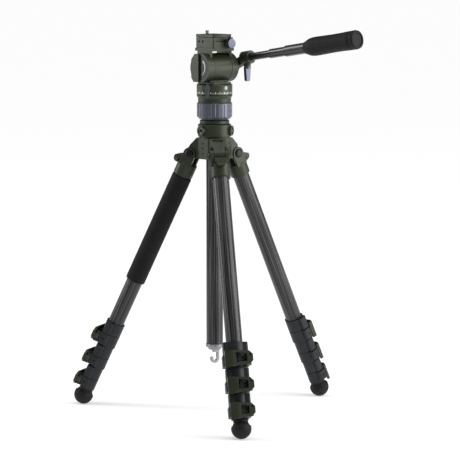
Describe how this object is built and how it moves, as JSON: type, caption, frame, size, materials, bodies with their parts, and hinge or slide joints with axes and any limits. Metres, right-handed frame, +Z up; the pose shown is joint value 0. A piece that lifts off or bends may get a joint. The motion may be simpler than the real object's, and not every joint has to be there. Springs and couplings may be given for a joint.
{
  "type": "video tripod with fluid head",
  "caption": "Four-section flip-lock tripod with half-ball levelling base, pan and tilt fluid head, quick-release plate and telescopic pan handle.",
  "frame": {"origin": "on the floor, under the axis of the centre column", "axes": "+Z up; +X along the head's tilt axis towards the pan handle; the operator stands on the -Y side and the lens looks along +Y"},
  "size_m": [0.4093, 0.5063, 0.6662],
  "materials": {
    "olive_paint": "fine-textured olive paint, satin",
    "grey_anodised": "dark grey anodised, satin",
    "carbon": "carbon-fibre tube under satin lacquer",
    "black_rubber": "matte black moulded rubber",
    "foam": "closed-cell black foam",
    "black_steel": "black oxide, satin",
    "gunmetal": "bluish gunmetal anodised",
    "bright_alloy": "clear anodised, bright",
    "vial": "tinted spirit level vial"
  },
  "bodies": {
    "tripod_base": {"spider": "olive_paint", "pivot_bolts_and_inserts": "black_steel"},
    "leg_1": {"leg_1_yoke": "olive_paint", "leg_1_tube_1": "carbon", "leg_1_clamp_1": "grey_anodised"},
    "leg_1_angle_lock": {"leg_1_angle_lock": "olive_paint"},
    "leg_1_section_2": {"leg_1_section_2": "grey_anodised"},
    "leg_1_section_3": {"leg_1_section_3": "grey_anodised"},
    "leg_1_section_4": {"leg_1_tube_4": "carbon", "leg_1_foot": "black_rubber"},
    "leg_1_lever_1": {"leg_1_lever_1": "olive_paint"},
    "leg_1_lever_2": {"leg_1_lever_2": "olive_paint"},
    "leg_1_lever_3": {"leg_1_lever_3": "olive_paint"},
    "leg_2": {"leg_2_yoke": "olive_paint", "leg_2_tube_1": "carbon", "leg_2_clamp_1": "grey_anodised", "leg_2_foam_sleeve": "foam"},
    "leg_2_angle_lock": {"leg_2_angle_lock": "olive_paint"},
    "leg_2_section_2": {"leg_2_section_2": "grey_anodised"},
    "leg_2_section_3": {"leg_2_section_3": "grey_anodised"},
    "leg_2_section_4": {"leg_2_tube_4": "carbon", "leg_2_foot": "black_rubber"},
    "leg_2_lever_1": {"leg_2_lever_1": "olive_paint"},
    "leg_2_lever_2": {"leg_2_lever_2": "olive_paint"},
    "leg_2_lever_3": {"leg_2_lever_3": "olive_paint"},
    "leg_3": {"leg_3_yoke": "olive_paint", "leg_3_tube_1": "carbon", "leg_3_clamp_1": "grey_anodised"},
    "leg_3_angle_lock": {"leg_3_angle_lock": "olive_paint"},
    "leg_3_section_2": {"leg_3_section_2": "grey_anodised"},
    "leg_3_section_3": {"leg_3_section_3": "grey_anodised"},
    "leg_3_section_4": {"leg_3_tube_4": "carbon", "leg_3_foot": "black_rubber"},
    "leg_3_lever_1": {"leg_3_lever_1": "olive_paint"},
    "leg_3_lever_2": {"leg_3_lever_2": "olive_paint"},
    "leg_3_lever_3": {"leg_3_lever_3": "olive_paint"},
    "lock_ring": {"column_lock_ring": "olive_paint"},
    "column": {"column": "carbon", "column_end_cap": "bright_alloy"},
    "weight_hook": {"weight_hook": "bright_alloy"},
    "levelling_ring": {"levelling_ring": "gunmetal"},
    "levelling_washer": {"levelling_washer": "black_steel"},
    "levelling_ball": {"levelling_ball": "olive_paint"},
    "pan": {"pan_base": "olive_paint", "bubble_level": "vial", "tilt_housing": "olive_paint"},
    "pan_lock_knob": {"pan_lock_knob": "gunmetal"},
    "tilt": {"tilt_cradle": "olive_paint", "side_cover": "olive_paint", "plate_clamp": "olive_paint"},
    "tilt_drag_dial": {"tilt_drag_dial": "black_steel"},
    "plate_lock_knob": {"plate_lock_knob": "gunmetal"},
    "plate": {"quick_release_plate": "olive_paint"},
    "camera_screw": {"camera_screw": "bright_alloy"},
    "handle_arm": {"handle_arm": "olive_paint", "handle_tube_inner": "carbon"},
    "handle_clamp_lever": {"handle_clamp_lever": "gunmetal"},
    "handle_middle": {"handle_tube_middle": "carbon"},
    "handle_outer": {"handle_tube_outer": "carbon", "handle_grip": "black_rubber"}
  },
  "joints": [
    {"name": "leg_1_spread", "type": "hinge", "parent": "tripod_base", "child": "leg_1", "pos_m": [0.0405, 0, 0.44837], "axis": [0, -1, 0], "range_deg": [-25, 55]},
    {"name": "leg_1_angle_lock_pull", "type": "slide", "parent": "leg_1", "child": "leg_1_angle_lock", "axis": [0.9033, 0, 0.4289], "range_m": [0, 0.005], "stiffness_N_per_m": 300},
    {"name": "leg_1_section_2_slide", "type": "slide", "parent": "leg_1", "child": "leg_1_section_2", "axis": [0.4289, 0, -0.9033], "range_m": [0, 0.28]},
    {"name": "leg_1_section_3_slide", "type": "slide", "parent": "leg_1_section_2", "child": "leg_1_section_3", "axis": [0.4289, 0, -0.9033], "range_m": [0, 0.28]},
    {"name": "leg_1_section_4_slide", "type": "slide", "parent": "leg_1_section_3", "child": "leg_1_section_4", "axis": [0.4289, 0, -0.9033], "range_m": [0, 0.28]},
    {"name": "leg_1_lever_1_flip", "type": "hinge", "parent": "leg_1", "child": "leg_1_lever_1", "pos_m": [0.21099, 0.019, 0.12826], "axis": [-0.4289, 0, 0.9033], "range_deg": [0, 100]},
    {"name": "leg_1_lever_2_flip", "type": "hinge", "parent": "leg_1_section_2", "child": "leg_1_lever_2", "pos_m": [0.22902, 0.0175, 0.08678], "axis": [-0.4289, 0, 0.9033], "range_deg": [0, 100]},
    {"name": "leg_1_lever_3_flip", "type": "hinge", "parent": "leg_1_section_3", "child": "leg_1_lever_3", "pos_m": [0.24607, 0.016, 0.04739], "axis": [-0.4289, 0, 0.9033], "range_deg": [0, 100]},
    {"name": "leg_2_spread", "type": "hinge", "parent": "tripod_base", "child": "leg_2", "pos_m": [-0.02025, 0.03507, 0.44837], "axis": [0.866, 0.5, 0], "range_deg": [-25, 55]},
    {"name": "leg_2_angle_lock_pull", "type": "slide", "parent": "leg_2", "child": "leg_2_angle_lock", "axis": [-0.4517, 0.7823, 0.4289], "range_m": [0, 0.005], "stiffness_N_per_m": 300},
    {"name": "leg_2_section_2_slide", "type": "slide", "parent": "leg_2", "child": "leg_2_section_2", "axis": [-0.2145, 0.3715, -0.9033], "range_m": [0, 0.28]},
    {"name": "leg_2_section_3_slide", "type": "slide", "parent": "leg_2_section_2", "child": "leg_2_section_3", "axis": [-0.2145, 0.3715, -0.9033], "range_m": [0, 0.28]},
    {"name": "leg_2_section_4_slide", "type": "slide", "parent": "leg_2_section_3", "child": "leg_2_section_4", "axis": [-0.2145, 0.3715, -0.9033], "range_m": [0, 0.28]},
    {"name": "leg_2_lever_1_flip", "type": "hinge", "parent": "leg_2", "child": "leg_2_lever_1", "pos_m": [-0.12195, 0.17322, 0.12826], "axis": [0.2145, -0.3715, 0.9033], "range_deg": [0, 100]},
    {"name": "leg_2_lever_2_flip", "type": "hinge", "parent": "leg_2_section_2", "child": "leg_2_lever_2", "pos_m": [-0.12967, 0.18959, 0.08678], "axis": [0.2145, -0.3715, 0.9033], "range_deg": [0, 100]},
    {"name": "leg_2_lever_3_flip", "type": "hinge", "parent": "leg_2_section_3", "child": "leg_2_lever_3", "pos_m": [-0.13689, 0.2051, 0.04739], "axis": [0.2145, -0.3715, 0.9033], "range_deg": [0, 100]},
    {"name": "leg_3_spread", "type": "hinge", "parent": "tripod_base", "child": "leg_3", "pos_m": [-0.02025, -0.03507, 0.44837], "axis": [-0.866, 0.5, 0], "range_deg": [-25, 55]},
    {"name": "leg_3_angle_lock_pull", "type": "slide", "parent": "leg_3", "child": "leg_3_angle_lock", "axis": [-0.4517, -0.7823, 0.4289], "range_m": [0, 0.005], "stiffness_N_per_m": 300},
    {"name": "leg_3_section_2_slide", "type": "slide", "parent": "leg_3", "child": "leg_3_section_2", "axis": [-0.2145, -0.3715, -0.9033], "range_m": [0, 0.28]},
    {"name": "leg_3_section_3_slide", "type": "slide", "parent": "leg_3_section_2", "child": "leg_3_section_3", "axis": [-0.2145, -0.3715, -0.9033], "range_m": [0, 0.28]},
    {"name": "leg_3_section_4_slide", "type": "slide", "parent": "leg_3_section_3", "child": "leg_3_section_4", "axis": [-0.2145, -0.3715, -0.9033], "range_m": [0, 0.28]},
    {"name": "leg_3_lever_1_flip", "type": "hinge", "parent": "leg_3", "child": "leg_3_lever_1", "pos_m": [-0.08904, -0.19222, 0.12826], "axis": [0.2145, 0.3715, 0.9033], "range_deg": [0, 100]},
    {"name": "leg_3_lever_2_flip", "type": "hinge", "parent": "leg_3_section_2", "child": "leg_3_lever_2", "pos_m": [-0.09936, -0.20709, 0.08678], "axis": [0.2145, 0.3715, 0.9033], "range_deg": [0, 100]},
    {"name": "leg_3_lever_3_flip", "type": "hinge", "parent": "leg_3_section_3", "child": "leg_3_lever_3", "pos_m": [-0.10918, -0.2211, 0.04739], "axis": [0.2145, 0.3715, 0.9033], "range_deg": [0, 100]},
    {"name": "column_lock_ring_turn", "type": "hinge", "parent": "tripod_base", "child": "lock_ring", "pos_m": [0, 0, 0.50027], "axis": [0, 0, 1], "range_deg": [0, 90]},
    {"name": "column_slide", "type": "slide", "parent": "tripod_base", "child": "column", "axis": [0, 0, 1], "range_m": [0, 0.3]},
    {"name": "weight_hook_swivel", "type": "hinge", "parent": "column", "child": "weight_hook", "pos_m": [0, 0, 0.11017], "axis": [0, 0, 1], "continuous": true},
    {"name": "levelling_ring_turn", "type": "hinge", "parent": "column", "child": "levelling_ring", "pos_m": [0, 0, 0.54087], "axis": [0, 0, 1], "range_deg": [0, 60]},
    {"name": "levelling_roll", "type": "hinge", "parent": "column", "child": "levelling_washer", "pos_m": [0, 0, 0.54087], "axis": [0, 1, 0], "range_deg": [-10, 10]},
    {"name": "levelling_pitch", "type": "hinge", "parent": "levelling_washer", "child": "levelling_ball", "pos_m": [0, 0, 0.54087], "axis": [1, 0, 0], "range_deg": [-10, 10]},
    {"name": "pan_turn", "type": "hinge", "parent": "levelling_ball", "child": "pan", "pos_m": [0, 0, 0.55017], "axis": [0, 0, 1], "continuous": true},
    {"name": "pan_lock_knob_turn", "type": "hinge", "parent": "pan", "child": "pan_lock_knob", "pos_m": [-0.0265, -0.0153, 0.56159], "axis": [-0.866, -0.5, 0], "range_deg": [0, 90]},
    {"name": "tilt_turn", "type": "hinge", "parent": "pan", "child": "tilt", "pos_m": [0, 0, 0.59637], "axis": [1, 0, 0], "range_deg": [-60, 75]},
    {"name": "tilt_drag_dial_turn", "type": "hinge", "parent": "tilt", "child": "tilt_drag_dial", "pos_m": [-0.033, 0, 0.59637], "axis": [-1, 0, 0], "range_deg": [0, 120]},
    {"name": "plate_lock_knob_turn", "type": "hinge", "parent": "tilt", "child": "plate_lock_knob", "pos_m": [0.0111, -0.023, 0.63787], "axis": [0, -1, 0], "range_deg": [0, 180]},
    {"name": "plate_slide", "type": "slide", "parent": "tilt", "child": "plate", "axis": [0, 1, 0], "range_m": [0, 0.02]},
    {"name": "camera_screw_turn", "type": "hinge", "parent": "plate", "child": "camera_screw", "pos_m": [0, 0.0193, 0.65307], "axis": [0, 0, 1], "continuous": true},
    {"name": "handle_angle", "type": "hinge", "parent": "tilt", "child": "handle_arm", "pos_m": [0.033, 0, 0.59637], "axis": [1, 0, 0], "range_deg": [-45, 45]},
    {"name": "handle_clamp_lever_turn", "type": "hinge", "parent": "handle_arm", "child": "handle_clamp_lever", "pos_m": [0.048, -0.03, 0.61287], "axis": [0, 0, 1], "range_deg": [-90, 90]},
    {"name": "handle_middle_slide", "type": "slide", "parent": "handle_arm", "child": "handle_middle", "axis": [0.1205, -0.9811, 0.1513], "range_m": [-0.036, 0.022]},
    {"name": "handle_outer_slide", "type": "slide", "parent": "handle_middle", "child": "handle_outer", "axis": [0.1205, -0.9811, 0.1513], "range_m": [-0.032, 0.022]}
  ]
}
